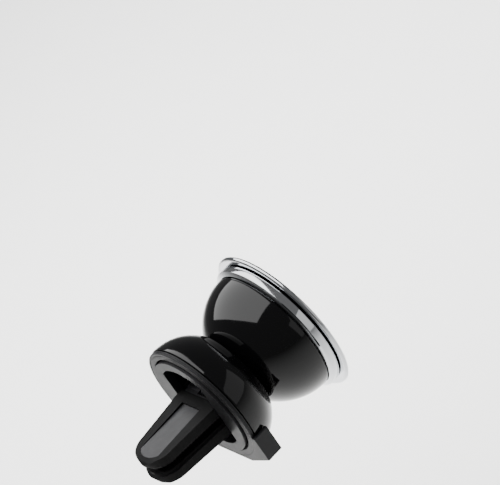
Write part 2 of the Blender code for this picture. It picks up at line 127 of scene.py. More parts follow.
def softbox(name, towards, along, distance, length, width, watts, mirrored=True, target=(0, 0, 0)):
    """Area light in that direction from its target, facing it, with its long side laid along a vector."""
    away = Vector(towards).normalized()
    side = Vector(along)
    side = (side - side.dot(away) * away).normalized()
    light = bpy.data.lights.new(name, "AREA")
    light.shape = "RECTANGLE"
    light.size, light.size_y = length, width
    light.energy = watts
    lamp = bpy.data.objects.new(name, light)
    axes = Matrix((side, away.cross(side), away)).transposed().to_4x4()
    lamp.matrix_world = Matrix.Translation(Vector(target) + away * distance) @ axes
    lamp.visible_glossy = mirrored
    lamp.visible_camera = False
    bpy.context.scene.collection.objects.link(lamp)


BEHIND = (0.44, -0.205, frame_box[0][2] - FLOOR_DROP)
UP, SIDEWAYS = (0.0, 0.0, 1.0), (1.0, 0.0, 0.0)
softbox("overhead_strip", (0.393, 0.130, 0.910), (0.929, -0.038, -0.369), 0.6, 1.26, 0.66, 8.6)
softbox("side_panel", (-0.75, -0.6, 0.2), (-0.6, 0.75, 0.0), 0.8, 0.9, 0.45, 0.7)
softbox("paper_light", UP, SIDEWAYS, 1.6, 3.2, 3.2, 20, mirrored=False)
softbox("backdrop_light", UP, SIDEWAYS, 0.42, 0.5, 0.5, 7.5, mirrored=False, target=BEHIND)

world = bpy.data.worlds.new("studio")
world.use_nodes = True
world.node_tree.nodes["Background"].inputs["Color"].default_value = srgb("#ffffff")
world.node_tree.nodes["Background"].inputs["Strength"].default_value = 0.16
bpy.context.scene.world = world

bpy.ops.object.select_all(action="DESELECT")
bpy.ops.mesh.primitive_plane_add(size=PAPER_WIDTH, location=(0, 0, frame_box[0][2] - FLOOR_DROP))
floor = bpy.context.object
floor.name = "paper_floor"
bpy.ops.object.transform_apply(location=True, rotation=True, scale=True)
# Matt background paper: no gloss, and a faint fibre in its tone.
paper, tree, shader = new_material("background_paper", "#f6f6f5", 0.95, specular=0.1)
place = add_node(tree, "ShaderNodeTexCoord").outputs["Object"]
fibre = add_node(tree, "ShaderNodeTexNoise", [("Vector", place), ("Scale", 60.0), ("Detail", 3.0)])
two_tones(tree, shader, fibre, "#f5f5f4", "#f8f8f7")
floor.data.materials.append(paper)

# Clip dome: the front shell of the clip, a full dome with a shallow dish in which the head tilts. It is
# injection moulded in black ABS from a polished tool, so it mirrors the room, with a slight flow in it.


def box_mm(node):
    """A node's lowest and highest corner in millimetres."""
    low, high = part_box(node)
    return low / MM, high / MM


low, high = box_mm("base_dome")
AXIS = (low.z + high.z) / 2
DOME_R, DOME_EDGE, LIP = high.x, high.y, low.y
DOME_MIDDLE, DOME_LENGTH, DOME_POWER = -1.0, 14.0, 2.2
DOME_INNER_LENGTH, DOME_WALL = 12.2, 1.3
DISH_FLOOR, DISH_WALL = LIP + 2.3, 1.6
STUD_HOLE = 2.2


def lathe(name, rings, steps=160):
    """Turns a piece: a circle about the axis is extruded along Y and resized, once for each (radius, y) ring.
    An outline that ends where it began is bridged, and any other is capped at both ends."""
    closed = rings[0] == rings[-1]
    if closed:
        rings = rings[:-1]
    radius, y = rings[0]
    bpy.ops.object.select_all(action="DESELECT")
    spot = (0, y * MM, AXIS * MM)
    facing = (math.pi / 2, 0, 0)
    bpy.ops.mesh.primitive_circle_add(vertices=steps, radius=radius * MM, location=spot, rotation=facing)
    piece = bpy.context.object
    piece.name = piece.data.name = name
    bpy.ops.object.transform_apply(location=True, rotation=True, scale=True)
    bpy.ops.object.mode_set(mode="EDIT")
    bpy.ops.mesh.select_mode(type="EDGE")
    bpy.ops.mesh.select_all(action="SELECT")
    for next_radius, next_y in rings[1:]:
        bpy.ops.mesh.extrude_region_move(TRANSFORM_OT_translate={"value": (0, (next_y - y) * MM, 0)})
        ratio = next_radius / radius
        bpy.ops.transform.resize(value=(ratio, 1, ratio), center_override=(0, next_y * MM, AXIS * MM))
        radius, y = next_radius, next_y
    bpy.ops.mesh.select_all(action="DESELECT")
    bpy.ops.mesh.select_non_manifold(
        use_wire=False, use_multi_face=False, use_non_contiguous=False, use_verts=False
    )
    if closed:
        bpy.ops.mesh.bridge_edge_loops()
    else:
        bpy.ops.mesh.fill_holes(sides=0)
    bpy.ops.mesh.select_all(action="SELECT")
    bpy.ops.mesh.normals_make_consistent(inside=False)
    bpy.ops.object.mode_set(mode="OBJECT")
    return piece


def shade(piece, angle=35):
    """Smooth shading with the edges sharper than an angle kept crisp, and each flat face kept flat."""
    bpy.ops.object.select_all(action="DESELECT")
    piece.select_set(True)
    bpy.context.view_layer.objects.active = piece
    bpy.ops.object.shade_smooth_by_angle(angle=math.radians(angle))
    bpy.ops.object.modifier_add(type="WEIGHTED_NORMAL")
    weigh = piece.modifiers[-1]
    weigh.keep_sharp = True
    weigh.weight = 100
    bpy.ops.object.modifier_apply(modifier=weigh.name)


def soften(piece, width, segments=3, angle=28):
    """Rounds the edges sharper than an angle."""
    bpy.ops.object.select_all(action="DESELECT")
    piece.select_set(True)
    bpy.context.view_layer.objects.active = piece
    bpy.ops.object.modifier_add(type="BEVEL")
    edge = piece.modifiers[-1]
    edge.width = width * MM
    edge.segments = segments
    edge.limit_method = "ANGLE"
    edge.angle_limit = math.radians(angle)
    bpy.ops.object.modifier_apply(modifier=edge.name)
    shade(piece, max(angle, 35))


def dome_ring(radius, length, angle):
    """(radius, y) on the dome's curve: a circle's angle, squared off by the power."""
    a = math.radians(angle)
    power = 2 / DOME_POWER
    return (radius * math.cos(a) ** power, DOME_MIDDLE - length * math.sin(a) ** power)


outer = [(DOME_R, DOME_EDGE)] + [dome_ring(DOME_R, DOME_LENGTH, a) for a in range(3, 43, 2)]
lip = [(12.95, LIP + 0.34), (12.78, LIP + 0.18), (12.55, LIP + 0.06), (12.25, LIP), (11.95, LIP + 0.05)]
dish = [(11.6, LIP + 0.25), (11.0, LIP + 0.75), (10.2, LIP + 1.35), (9.2, LIP + 1.85), (8.2, LIP + 2.15)]
dish += [(7.0, LIP + 2.28), (5.5, DISH_FLOOR), (STUD_HOLE, DISH_FLOOR)]
inner = [(STUD_HOLE, DISH_FLOOR + DISH_WALL)]
inner += [dome_ring(DOME_R - DOME_WALL, DOME_INNER_LENGTH, a) for a in range(26, 2, -3)]
inner += [(DOME_R - DOME_WALL, DOME_EDGE), (DOME_R, DOME_EDGE)]
dome = lathe("clip_dome", outer + lip + dish + inner)
soften(dome, 0.12)


def uneven_gloss(tree, shader, patches, least, most):
    """Lets the roughness drift between two values over a pattern's patches."""
    spread = [("Value", patches.outputs["Fac"]), ("To Min", least), ("To Max", most)]
    gloss = add_node(tree, "ShaderNodeMapRange", spread)
    tree.links.new(gloss.outputs["Result"], shader.inputs["Roughness"])


def relief(tree, shader, height, strength, depth):
    """Gives the skin a relief of that depth in metres."""
    skin = add_node(tree, "ShaderNodeBump", [("Height", height), ("Strength", strength), ("Distance", depth)])
    tree.links.new(skin.outputs["Normal"], shader.inputs["Normal"])


gloss_abs, tree, shader = new_material("polished_black_abs", "#060607", 0.06, specular=0.4)
place = add_node(tree, "ShaderNodeTexCoord").outputs["Object"]
# Handling marks 3 mm across make the gloss a little uneven.
smudge = add_node(tree, "ShaderNodeTexNoise", [("Vector", place), ("Scale", 330.0), ("Detail", 3.0)])
uneven_gloss(tree, shader, smudge, 0.035, 0.10)
# Slow waves 7 mm across, where the melt flowed and cooled.
flow = add_node(tree, "ShaderNodeTexNoise", [("Vector", place), ("Scale", 140.0), ("Detail", 1.0)])
relief(tree, shader, flow.outputs["Fac"], 0.06, 0.0004)
dome.data.materials.append(gloss_abs)
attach(dome, "clip_base")
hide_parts("base_dome")

# Rim with feet: the ring that closes the dome from behind, with two square feet that lean on the louver
# below. It is moulded in dark grey ABS with a spark-eroded grain, and has a fine groove on its rear face and
# another round its wall.

low, high = box_mm("foot_ring")
RIM_R = 17.3
RIM_THICK = 0.9
SEAT_R, SEAT_Y, LEDGE_R = 15.0, -1.9, 13.6
SPIGOT_R = 15.85
SKIRT_R, SKIRT_Y = 14.9, -4.4
DOME_ROOM_R, SEAT_ROOM_R = 17.35, 16.3
FOOT_HALF_X, FOOT_FRONT, FOOT_BOTTOM = high.x, low.y, low.z - AXIS
FOOT_TOP = -6.0
FOOT_KNEE_X, FOOT_KNEE_Z, FOOT_CORNER_Z = 8.3, -17.0, -14.5
GROOVE = 0.14

groove_rear = [(16.45, 0), (16.52, -GROOVE), (16.62, -GROOVE), (16.69, 0)]
groove_side = [(RIM_R, -0.42), (RIM_R - GROOVE, -0.47), (RIM_R - GROOVE, -0.56), (RIM_R, -0.61)]
rings = [(SEAT_R, SEAT_Y), (SEAT_R, -0.3), (SEAT_R + 0.06, -0.12), (SEAT_R + 0.2, -0.02), (SEAT_R + 0.35, 0)]
rings += groove_rear
rings += [(RIM_R - 0.3, 0), (RIM_R - 0.12, -0.04), (RIM_R - 0.03, -0.14), (RIM_R, -0.28)]
rings += groove_side
rings += [(RIM_R, -RIM_THICK), (SPIGOT_R, -RIM_THICK), (SPIGOT_R, -2.6), (SKIRT_R, -2.9), (SKIRT_R, SKIRT_Y)]
rings += [(LEDGE_R, SKIRT_Y), (LEDGE_R, SEAT_Y), (SEAT_R, SEAT_Y)]
rim = lathe("rim_and_feet", rings, 192)


def block(name, low, high):
    """A box between two corners in millimetres, left as the active object."""
    bpy.ops.object.select_all(action="DESELECT")
    middle = [(a + b) / 2 * MM for a, b in zip(low, high)]
    bpy.ops.mesh.primitive_cube_add(size=1, location=middle, scale=[(b - a) * MM for a, b in zip(low, high)])
    made = bpy.context.object
    made.name = made.data.name = name
    bpy.ops.object.transform_apply(location=True, rotation=True, scale=True)
    return made


def bar(name, radius, start, end, axis="Y", steps=96):
    """A round bar between two points in millimetres that differ along one axis only."""
    bpy.ops.object.select_all(action="DESELECT")
    middle = [(a + b) / 2 * MM for a, b in zip(start, end)]
    length = max(abs(b - a) for a, b in zip(start, end)) * MM
    lay = {"X": (0, math.pi / 2, 0), "Y": (math.pi / 2, 0, 0), "Z": (0, 0, 0)}[axis]
    bpy.ops.mesh.primitive_cylinder_add(
        vertices=steps, radius=radius * MM, depth=length, location=middle, rotation=lay
    )
    made = bpy.context.object
    made.name = made.data.name = name
    bpy.ops.object.transform_apply(location=True, rotation=True, scale=True)
    return made


def slice_off(piece, point, normal):
    """Cuts off what lies on the normal's side of a plane, and closes the cut."""
    bpy.ops.object.select_all(action="DESELECT")
    piece.select_set(True)
    bpy.context.view_layer.objects.active = piece
    bpy.ops.object.mode_set(mode="EDIT")
    bpy.ops.mesh.select_all(action="SELECT")
    spot = [c * MM for c in point]
    bpy.ops.mesh.bisect(plane_co=spot, plane_no=normal, use_fill=True, clear_outer=True, threshold=0.000001)
    bpy.ops.object.mode_set(mode="OBJECT")


def combine(piece, tool, how):
    """Applies a Boolean with a tool, and throws the tool away."""
    bpy.ops.object.select_all(action="DESELECT")
    piece.select_set(True)
    bpy.context.view_layer.objects.active = piece
    bpy.ops.object.modifier_add(type="BOOLEAN")
    change = piece.modifiers[-1]
    change.operation = how
    change.solver = "EXACT"
    change.object = tool
    bpy.ops.object.modifier_apply(modifier=change.name)
    bpy.data.objects.remove(tool)


feet = block(
    "feet_blank", (-FOOT_HALF_X, FOOT_FRONT, AXIS + FOOT_BOTTOM), (FOOT_HALF_X, 0, AXIS + FOOT_TOP)
)
for side in (-1, 1):
    slice_off(feet, (side * FOOT_KNEE_X, 0, AXIS + FOOT_KNEE_Z), (side * 0.356, 0, -0.934))
    slice_off(feet, (side * (FOOT_HALF_X - 0.15), 0, AXIS + FOOT_CORNER_Z), (side * 0.85, 0, -0.53))
soften(feet, 0.22, segments=3, angle=20)
combine(feet, bar("dome_room", DOME_ROOM_R, (0, -8, AXIS), (0, -RIM_THICK, AXIS), steps=192), "DIFFERENCE")
combine(feet, bar("seat_room", SEAT_ROOM_R, (0, -8, AXIS), (0, 1, AXIS), steps=192), "DIFFERENCE")
combine(rim, feet, "UNION")
shade(rim, 30)

satin_abs, tree, shader = new_material("grained_dark_abs", "#1a1a1c", 0.48, specular=0.32)
place = add_node(tree, "ShaderNodeTexCoord").outputs["Object"]
# Spark-eroded grain, a quarter of a millimetre across.
grain = add_node(tree, "ShaderNodeTexNoise", [("Vector", place), ("Scale", 4000.0), ("Detail", 2.0)])
relief(tree, shader, grain.outputs["Fac"], 0.18, 0.00008)
# Patches 4 mm across where hands have polished the grain.
wear = add_node(tree, "ShaderNodeTexNoise", [("Vector", place), ("Scale", 250.0), ("Detail", 4.0)])
uneven_gloss(tree, shader, wear, 0.42, 0.54)
rim.data.materials.clear()
rim.data.materials.append(satin_abs)
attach(rim, "clip_base")
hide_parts("foot_ring")

# Rear plate: a thick disc pressed into the rim's seat, standing a little proud of it. Its window is round,
# with two straight sides just clear of the jaws. It has the rim's grain and colour.

low, high = box_mm("rear_plate")
PLATE_R = high.x
WINDOW_R, WINDOW_HALF_X = 12.1, 8.05
rear_plate = bar("window_plate", PLATE_R, (0, low.y, AXIS), (0, high.y, AXIS), steps=192)
window = bar("window_tool", WINDOW_R, (0, low.y - 1, AXIS), (0, high.y + 1, AXIS), steps=192)
for side in (-1, 1):
    slice_off(window, (side * WINDOW_HALF_X, 0, 0), (side, 0, 0))
combine(rear_plate, window, "DIFFERENCE")
soften(rear_plate, 0.22, segments=4)
rear_plate.data.materials.append(satin_abs)
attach(rear_plate, "clip_base")
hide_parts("rear_plate")

# Jaw carrier: the plate inside the clip that holds the lower jaw, with two ears that take the pin. It is
# moulded in black glass-filled nylon, with a dull even surface.

low, high = box_mm("jaw_carrier")
pin_low, pin_high = box_mm("hinge_pin")
PIN_Y, PIN_Z = (pin_low.y + pin_high.y) / 2, (pin_low.z + pin_high.z) / 2
PIN_R, PIN_HALF_X = (pin_high.z - pin_low.z) / 2, pin_high.x
PIN_PLAY = 0.05
CARRIER_REAR = low.y + 0.7
EAR_BOTTOM, EAR_TOP = -1.6, 2.2
carrier = bar("jaw_carrier_plate", high.x, (0, low.y, AXIS), (0, CARRIER_REAR, AXIS))
for side in (-1, 1):
    xs = sorted((side * (WINDOW_HALF_X + 0.05), side * PIN_HALF_X))
    ear = block("ear_blank", (xs[0], CARRIER_REAR - 0.3, AXIS + EAR_BOTTOM), (xs[1], high.y, AXIS + EAR_TOP))
    combine(carrier, ear, "UNION")
soften(carrier, 0.18)


def ream(piece):
    """Bores the pin's hole through a piece."""
    reach = 12
    tool = bar("reamer", PIN_R + PIN_PLAY, (-reach, PIN_Y, PIN_Z), (reach, PIN_Y, PIN_Z), "X", 48)
    combine(piece, tool, "DIFFERENCE")


ream(carrier)
nylon_black, tree, shader = new_material("glass_filled_nylon", "#0d0d0e", 0.5, specular=0.4)
place = add_node(tree, "ShaderNodeTexCoord").outputs["Object"]
# Glass fibres mottle the skin in specks, drawn 0.6 mm across, which is larger than life.
specks = add_node(tree, "ShaderNodeTexNoise", [("Vector", place), ("Scale", 1600.0), ("Detail", 3.0)])
uneven_gloss(tree, shader, specks, 0.42, 0.62)
relief(tree, shader, specks.outputs["Fac"], 0.2, 0.0001)
carrier.data.materials.clear()
carrier.data.materials.append(nylon_black)
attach(carrier, "clip_base")
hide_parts("jaw_carrier")

# Jaw cores: the stiff strips inside the two jaws. Grained grey ABS shows in the long window of each sleeve.
# The upper core ends in a knuckle on the pin, and the lower one in a block that two screws hold.

CORE_HALF_X, CORE_NOSE, CORE_TIP = 3.75, 17.6, 19.2
CORE_PLAN = (CORE_HALF_X, CORE_NOSE, CORE_TIP)
CORE_ROOT = -1.2
JAW_TAPER = 0.6 / 17.0  # how much a jaw's outer face draws in for each millimetre towards its tip


def strip(name, half_x, nose, tip, root, low_z, high_z):
    """A flat strip along Y with an arched end, made from part of an upright cylinder."""
    rise = tip - nose
    radius = (half_x**2 + rise**2) / (2 * rise)
    middle = tip - radius
    made = bar(name, radius, (0, middle, low_z), (0, middle, high_z), "Z", 256)
    for side in (-1, 1):
        slice_off(made, (side * half_x, 0, 0), (side, 0, 0))
    slice_off(made, (0, nose - 0.2, 0), (0, -1, 0))
    stretch(made, (0, -1, 0), (0, root - nose + 0.2, 0), 1.0)
    return made


def stretch(piece, normal, move, widen):
    """Extrudes the flat face with that normal, and widens its new end in X."""
    bpy.ops.object.select_all(action="DESELECT")
    piece.select_set(True)
    bpy.context.view_layer.objects.active = piece
    bpy.ops.object.mode_set(mode="EDIT")
    bpy.ops.mesh.select_mode(type="FACE")
    bpy.ops.mesh.select_all(action="DESELECT")
    work = bmesh.from_edit_mesh(piece.data)
    for face in work.faces:
        face.select_set(face.normal.dot(Vector(normal)) > 0.999)
    bmesh.update_edit_mesh(piece.data)
    bpy.ops.mesh.extrude_region_move(TRANSFORM_OT_translate={"value": [c * MM for c in move]})
    bpy.ops.transform.resize(value=(widen, 1, 1), center_override=(0, 0, 0))
    bpy.ops.object.mode_set(mode="OBJECT")


low, high = box_mm("upper_jaw")
UPPER_FACE, UPPER_THICK = 3.8, 1.4
KNUCKLE_R = 1.25
SPRING_ROOM_HALF_X = 2.6
JAW_HALF_X = high.x
upper_core = strip("upper_core", *CORE_PLAN, PIN_Y + 0.3, UPPER_FACE - UPPER_THICK, UPPER_FACE)
half_x = JAW_HALF_X - 0.1
root_low = (-half_x, PIN_Y + 0.1, UPPER_FACE - UPPER_THICK - 0.1)
root_block = block("root_blank", root_low, (half_x, CORE_ROOT, UPPER_FACE - 0.1))
combine(upper_core, root_block, "UNION")
knuckle = bar("knuckle_blank", KNUCKLE_R, (-JAW_HALF_X, PIN_Y, PIN_Z), (JAW_HALF_X, PIN_Y, PIN_Z), "X")
combine(upper_core, knuckle, "UNION")
room_low = (-SPRING_ROOM_HALF_X, -6, AXIS - 3)
spring_room = block("spring_room", room_low, (SPRING_ROOM_HALF_X, PIN_Y + 1.5, AXIS + 4))
combine(upper_core, spring_room, "DIFFERENCE")
ream(upper_core)
soften(upper_core, 0.1, segments=2, angle=40)
core_abs, tree, shader = new_material("grained_grey_abs", "#2a2a2c", 0.46, specular=0.4)
place = add_node(tree, "ShaderNodeTexCoord").outputs["Object"]
# The same grain as the rim's, on a lighter grey, with a sheen that louvers wore in patches 2 mm wide.
grain = add_node(tree, "ShaderNodeTexNoise", [("Vector", place), ("Scale", 4000.0), ("Detail", 2.0)])
relief(tree, shader, grain.outputs["Fac"], 0.18, 0.00008)
wear = add_node(tree, "ShaderNodeTexNoise", [("Vector", place), ("Scale", 500.0), ("Detail", 4.0)])
uneven_gloss(tree, shader, wear, 0.40, 0.52)
upper_core.data.materials.clear()
upper_core.data.materials.append(core_abs)
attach(upper_core, "sprung_jaw")
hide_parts("upper_jaw")

low, high = box_mm("lower_jaw")
LOWER_FACE, LOWER_INNER = -3.4, -2.2
lower_core = strip("lower_core", *CORE_PLAN, -2.2, -4.0, LOWER_INNER)
slice_off(lower_core, (0, 17.0, LOWER_FACE), (0, JAW_TAPER, -1))
root_block = block("root_blank", (-JAW_HALF_X, low.y, low.z), (JAW_HALF_X, CORE_ROOT, high.z))
combine(lower_core, root_block, "UNION")
SCREW_X, SCREW_Z = 4.5, AXIS - 5.5
THREAD_HOLE_R = 0.85
for side in (-1, 1):
    x = side * SCREW_X
    tool = bar("thread_drill", THREAD_HOLE_R, (x, -5, SCREW_Z), (x, 0.2, SCREW_Z), steps=32)
    combine(lower_core, tool, "DIFFERENCE")
soften(lower_core, 0.1, segments=2, angle=40)
lower_core.data.materials.clear()
lower_core.data.materials.append(core_abs)
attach(lower_core, "clip_base")
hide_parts("lower_jaw")

# Jaw sleeves: soft black rubber moulded round each core. Its raised margins frame the core, its nose is
# round, and inside a ribbed land grips the louver. The rubber is dull and drinks most of the light.

NOSE_HALF_X, NOSE_Y, TIP_Y = 6.3, 15.0, 20.8
SLEEVE_ROOT = -0.9
LAND_INSET = 0.7
CORE_PLAY = 0.04
# Up to this y the rubber stays closed over the upper core's root. That black bridge is painted shade: it
# stands in for the dark of a shaded recess there.
WINDOW_ROOT_PAST_PAINTED_SHADE = 2.2
RIB_PITCH, RIB_DEPTH = 0.9, 0.22


def jaw_blank(name, inset, low_z, high_z, root):
    """Plan of a jaw as a solid: half of an oval cylinder for the nose, drawn back and widened to the root."""
    half_x = NOSE_HALF_X - inset
    length = TIP_Y - NOSE_Y - inset
    made = bar(name, half_x, (0, 0, low_z), (0, 0, high_z), "Z", 144)
    bpy.ops.object.mode_set(mode="EDIT")
    bpy.ops.mesh.select_all(action="SELECT")
    bpy.ops.transform.resize(value=(1, length / half_x, 1), center_override=(0, 0, 0))
    bpy.ops.transform.translate(value=(0, NOSE_Y * MM, 0))
    bpy.ops.object.mode_set(mode="OBJECT")
    slice_off(made, (0, NOSE_Y, 0), (0, -1, 0))
    stretch(made, (0, -1, 0), (0, -NOSE_Y, 0), (JAW_HALF_X - inset) / half_x)
    stretch(made, (0, -1, 0), (0, root, 0), 1.0)
    return made


def grip_land(name, inner, face):
    """The land inside a sleeve, its gripping face drawn into ribs across the jaw."""
    low_z, high_z = sorted((face, inner))
    land = jaw_blank(name, LAND_INSET, low_z, high_z, SLEEVE_ROOT + 0.4)
    bpy.ops.object.mode_set(mode="EDIT")
    y = SLEEVE_ROOT + 1.6
    crests = []
    while y < TIP_Y - 1.4:
        for place in (y, y + RIB_PITCH / 2):
            bpy.ops.mesh.select_all(action="SELECT")
            bpy.ops.mesh.bisect(plane_co=(0, place * MM, 0), plane_no=(0, 1, 0), threshold=0.000001)
        crests.append(y + RIB_PITCH / 2)
        y += RIB_PITCH
    bpy.ops.mesh.select_mode(type="VERT")
    bpy.ops.mesh.select_all(action="DESELECT")
    work = bmesh.from_edit_mesh(land.data)
    for vert in work.verts:
        on_face = abs(vert.co.z - face * MM) < 0.00001
        vert.select_set(on_face and min(abs(vert.co.y / MM - c) for c in crests) < 0.01)
    bmesh.update_edit_mesh(land.data)
    sink = math.copysign(RIB_DEPTH, inner - face)
    bpy.ops.transform.translate(value=(0, 0, sink * MM))
    bpy.ops.object.mode_set(mode="OBJECT")
    return land


low, high = box_mm("upper_jaw_sleeve")
UPPER_EDGE, UPPER_OUTER = 1.8, 4.5
upper_sleeve = jaw_blank("upper_sleeve", 0, UPPER_EDGE, high.z, SLEEVE_ROOT)
slice_off(upper_sleeve, (0, 0, UPPER_OUTER), (0, JAW_TAPER, 1))
slice_off(upper_sleeve, (0, 19.4, 3.75), (0, 0.48, 0.877))
slice_off(upper_sleeve, (0, 20.4, 3.2), (0, 0.85, 0.53))
soften(upper_sleeve, 0.3, segments=4, angle=20)
combine(upper_sleeve, grip_land("upper_land", UPPER_EDGE + 0.2, low.z), "UNION")
room_plan = (CORE_HALF_X + CORE_PLAY, CORE_NOSE, CORE_TIP + CORE_PLAY)
core_room = strip("core_room", *room_plan, -3, UPPER_FACE - UPPER_THICK - 0.05, UPPER_FACE + 0.05)
combine(upper_sleeve, core_room, "DIFFERENCE")
# The window starts only past the rubber bridge over the core's root. The bridge is painted shade, a black
# sheet where there is shade.
opening = strip("core_window", *room_plan, WINDOW_ROOT_PAST_PAINTED_SHADE, UPPER_FACE - 0.5, high.z + 1)
combine(upper_sleeve, opening, "DIFFERENCE")
shade(upper_sleeve, 30)

low, high = box_mm("lower_jaw_sleeve")
LOWER_EDGE, LOWER_OUTER = -1.6, -4.4
lower_sleeve = jaw_blank("lower_sleeve", 0, low.z, LOWER_EDGE, SLEEVE_ROOT)
slice_off(lower_sleeve, (0, 0, LOWER_OUTER), (0, 0.45 / 17.0, -1))
slice_off(lower_sleeve, (0, 19.4, -3.8), (0, 0.51, -0.86))
slice_off(lower_sleeve, (0, 20.4, -3.2), (0, 0.9, -0.43))
slice_off(lower_sleeve, (0, 19.8, LOWER_EDGE), (0, 0.66, 0.75))
soften(lower_sleeve, 0.3, segments=4, angle=20)
combine(lower_sleeve, grip_land("lower_land", LOWER_EDGE - 0.2, high.z), "UNION")
core_room = strip("core_room", *room_plan, -3, low.z - 1, LOWER_INNER + 0.05)
combine(lower_sleeve, core_room, "DIFFERENCE")
shade(lower_sleeve, 30)

rubber, tree, shader = new_material("black_silicone_rubber", "#0a0a0a", 0.62, specular=0.16)
place = add_node(tree, "ShaderNodeTexCoord").outputs["Object"]
# Dust and handling leave soft lighter patches 5 mm across.
dust = add_node(tree, "ShaderNodeTexNoise", [("Vector", place), ("Scale", 200.0), ("Detail", 6.0)])
two_tones(tree, shader, dust, "#050505", "#0c0c0d")
# Moulded skin with a grain of 0.2 mm.
grain = add_node(tree, "ShaderNodeTexNoise", [("Vector", place), ("Scale", 5000.0), ("Detail", 2.0)])
relief(tree, shader, grain.outputs["Fac"], 0.25, 0.00006)
for sleeve, body, node in (
    (upper_sleeve, "sprung_jaw", "upper_jaw_sleeve"),
    (lower_sleeve, "clip_base", "lower_jaw_sleeve"),
):
    sleeve.data.materials.clear()
    sleeve.data.materials.append(rubber)
    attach(sleeve, body)
    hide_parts(node)

# Hinge pin: a plain steel pin through the ears and the upper jaw's knuckle, its ends chamfered. It is ground,
# then blackened in a hot bath, which leaves a dark oily gloss.

pin = bar("jaw_pin", PIN_R, (-PIN_HALF_X, PIN_Y, PIN_Z), (PIN_HALF_X, PIN_Y, PIN_Z), "X", 64)
soften(pin, 0.12, segments=2)
black_steel, tree, shader = new_material("blackened_steel", "#3a3b3e", 0.32, metallic=1.0)
place = add_node(tree, "ShaderNodeTexCoord").outputs["Object"]
# Grinding and the bath leave a fine unevenness, drawn 0.15 mm across.
blackening = add_node(tree, "ShaderNodeTexNoise", [("Vector", place), ("Scale", 6500.0), ("Detail", 2.0)])
uneven_gloss(tree, shader, blackening, 0.26, 0.42)
pin.data.materials.append(black_steel)
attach(pin, "clip_base")
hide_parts("hinge_pin")

# Jaw spring: five turns of spring wire round the pin. One leg lies on the carrier, and the other pushes the
# upper jaw down on the louver.

COIL_TURNS, COIL_R, WIRE_R, COIL_HALF_X = 5, 1.15, 0.2, 1.9
POINTS_A_TURN = 32
points = [(-COIL_HALF_X, PIN_Y - 0.95, -3.0), (-COIL_HALF_X, PIN_Y - COIL_R, -1.0)]
for i in range(COIL_TURNS * POINTS_A_TURN + 1):
    a = math.pi + 2 * math.pi * i / POINTS_A_TURN
    x = COIL_HALF_X * (2 * i / (COIL_TURNS * POINTS_A_TURN) - 1)
    points.append((x, PIN_Y + COIL_R * math.cos(a), COIL_R * math.sin(a)))
points += [(COIL_HALF_X, PIN_Y - COIL_R + 0.1, 0.9), (COIL_HALF_X, PIN_Y - 0.9, 2.0)]
wire = bpy.data.curves.new("jaw_spring_wire", "CURVE")
wire.dimensions = "3D"
wire.bevel_depth = WIRE_R * MM
wire.bevel_resolution = 4
wire.use_fill_caps = True
spline = wire.splines.new("POLY")
spline.points.add(len(points) - 1)
for point, (x, y, z) in zip(spline.points, points):
    point.co = (x * MM, y * MM, (z + PIN_Z) * MM, 1)
spring = bpy.data.objects.new("jaw_spring_wire", wire)
bpy.context.scene.collection.objects.link(spring)
bpy.ops.object.select_all(action="DESELECT")
spring.select_set(True)
bpy.context.view_layer.objects.active = spring
bpy.ops.object.convert(target="MESH")
spring = bpy.context.object
bpy.ops.object.mode_set(mode="EDIT")
bpy.ops.mesh.select_all(action="SELECT")
bpy.ops.mesh.remove_doubles(threshold=0.000001)
bpy.ops.mesh.normals_make_consistent(inside=False)
bpy.ops.object.mode_set(mode="OBJECT")
shade(spring, 50)
spring.data.materials.append(black_steel)
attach(spring, "clip_base")
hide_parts("jaw_spring")

# Screws: eight pan-head screws for plastic, with a cross recess and a cut thread. Zinc plated.

HEAD_HEIGHT, SHANK_R = 1.0, 0.75
CROSS_LENGTH, CROSS_WIDTH, CROSS_DEPTH = 1.5, 0.3, 0.55
THREAD_PITCH, THREAD_DEPTH = 0.45, 0.14
zinc, tree, shader = new_material("zinc_plated_steel", "#c3c6c9", 0.3, metallic=1.0)
place = add_node(tree, "ShaderNodeTexCoord").outputs["Object"]
# The zinc skin is mottled in patches 1 mm across.
bloom = add_node(tree, "ShaderNodeTexNoise", [("Vector", place), ("Scale", 900.0), ("Detail", 4.0)])
two_tones(tree, shader, bloom, "#b9bec4", "#cfcfc8")


def pan_screw(name, node):
    """A screw along Y in a node's box, its head towards -Y."""
    low, high = box_mm(node)
    head_r = (high.x - low.x) / 2
    start, end = low.y, high.y
    under_head = start + HEAD_HEIGHT
    rings = [(head_r * 0.6, start), (head_r * 0.85, start + 0.1), (head_r, start + 0.4), (head_r, under_head)]
    rings += [(SHANK_R, under_head)]
    y = start + 1.3
    while y < end - 0.8:
        rings += [(SHANK_R, y), (SHANK_R - THREAD_DEPTH, y + THREAD_PITCH * 0.4)]
        y += THREAD_PITCH
    rings += [(SHANK_R * 0.8, end - 0.6), (0.15, end)]
    made = lathe(name, rings, 40)
    for half_x, half_z in ((CROSS_LENGTH / 2, CROSS_WIDTH / 2), (CROSS_WIDTH / 2, CROSS_LENGTH / 2)):
        far_corner = (half_x, start + CROSS_DEPTH, AXIS + half_z)
        tool = block("cross_tool", (-half_x, start - 1, AXIS - half_z), far_corner)
        combine(made, tool, "DIFFERENCE")
    bpy.ops.object.mode_set(mode="EDIT")
    bpy.ops.mesh.select_all(action="SELECT")
    bpy.ops.transform.translate(value=((low.x + high.x) / 2 * MM, 0, ((low.z + high.z) / 2 - AXIS) * MM))
    bpy.ops.object.mode_set(mode="OBJECT")
    shade(made, 35)
    made.data.materials.clear()
    made.data.materials.append(zinc)
    return made


for body, nodes in (
    ("clip_base", ("jaw_screw_1", "jaw_screw_2")),
    ("head", ("retainer_screw_1", "retainer_screw_2", "retainer_screw_3")),
    ("head", ("tray_screw_1", "tray_screw_2", "tray_screw_3")),
):
    for node in nodes:
        screw = pan_screw(node + "_cross_head", node)
        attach(screw, body)
        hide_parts(node)

# Ball stud and nut: a polished steel ball on a neck, held in the dome by a flange outside and a nut inside.

